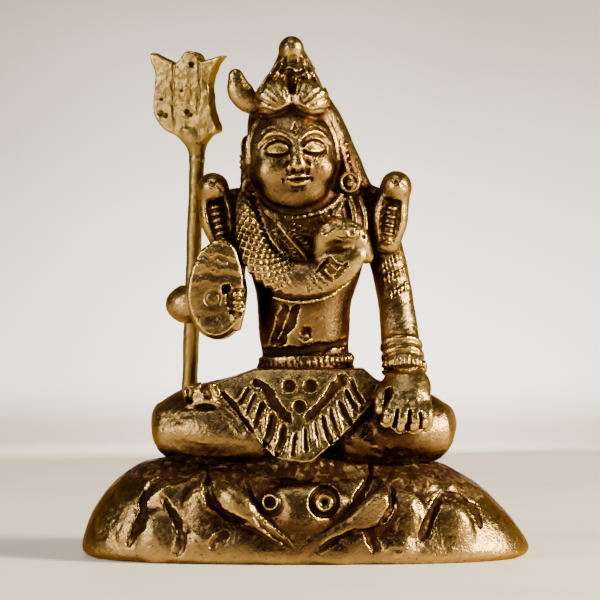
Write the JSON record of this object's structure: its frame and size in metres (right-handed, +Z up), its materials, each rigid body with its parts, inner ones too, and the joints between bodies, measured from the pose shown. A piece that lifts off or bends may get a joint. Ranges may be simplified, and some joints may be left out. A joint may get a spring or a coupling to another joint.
{
  "type": "idol",
  "caption": "Small cast brass idol of a seated ascetic god on a rock mound, with a loose trident standing in a socket behind the raised hand.",
  "frame": {"origin": "centre of the mound's flat underside, on the surface that the idol stands on", "axes": "+Z up through the head; the figure faces -Y; +X to the right of someone who looks the figure in the face, which is the figure's own left"},
  "size_m": [0.0742, 0.0399, 0.086],
  "materials": {
    "cast_brass": "satin, hand-filed, dark patina in the recesses",
    "trident_brass": "satin, pitted head on a smooth drawn rod"
  },
  "bodies": {
    "root": {"shiva_and_mound": "cast_brass", "trident": "trident_brass"}
  },
  "joints": []
}
